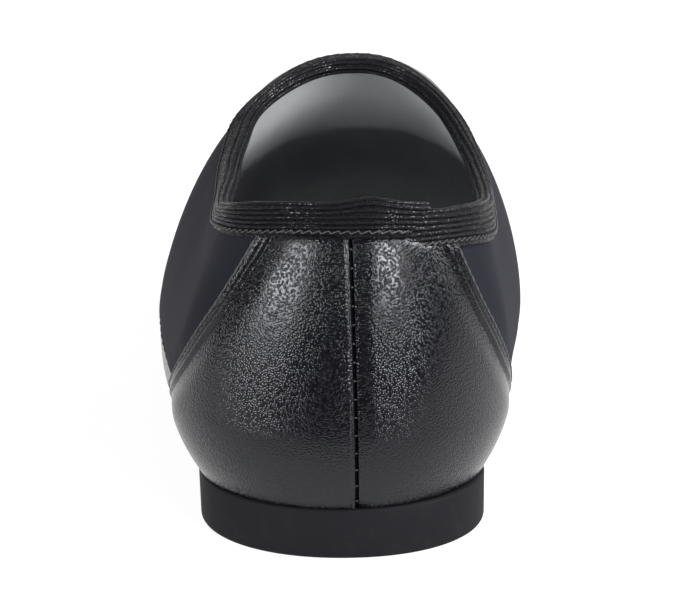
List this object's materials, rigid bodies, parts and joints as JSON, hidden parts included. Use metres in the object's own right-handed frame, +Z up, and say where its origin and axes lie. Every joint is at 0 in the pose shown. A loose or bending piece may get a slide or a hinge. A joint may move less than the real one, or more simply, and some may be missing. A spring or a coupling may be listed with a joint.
{
  "type": "jazz shoe",
  "caption": "Left slip-on jazz shoe with a hollow stretch upper, leather vamp and heel quarters, ribbed elastic collar, low rubber heel and split sole.",
  "frame": {"origin": "middle of the bounding box on the floor, under the shoe's arch", "axes": "+Y towards the toe along the foot's length, +X towards the medial (inner) side, +Z up from the floor"},
  "size_m": [0.086, 0.2514, 0.0814],
  "materials": {
    "stretch": "smooth matte stretch fabric",
    "leather": "fine pebbled grain with a soft sheen",
    "binding": "ribbed woven elastic",
    "insole": "matte grey lining cloth",
    "rubber": "matte moulded rubber"
  },
  "bodies": {
    "root": {"upper": "stretch", "vamp": "leather", "quarter_lateral": "leather", "quarter_medial": "leather", "collar_binding": "binding", "insole": "insole", "heel": "rubber", "forefoot_sole": "rubber"}
  },
  "joints": []
}
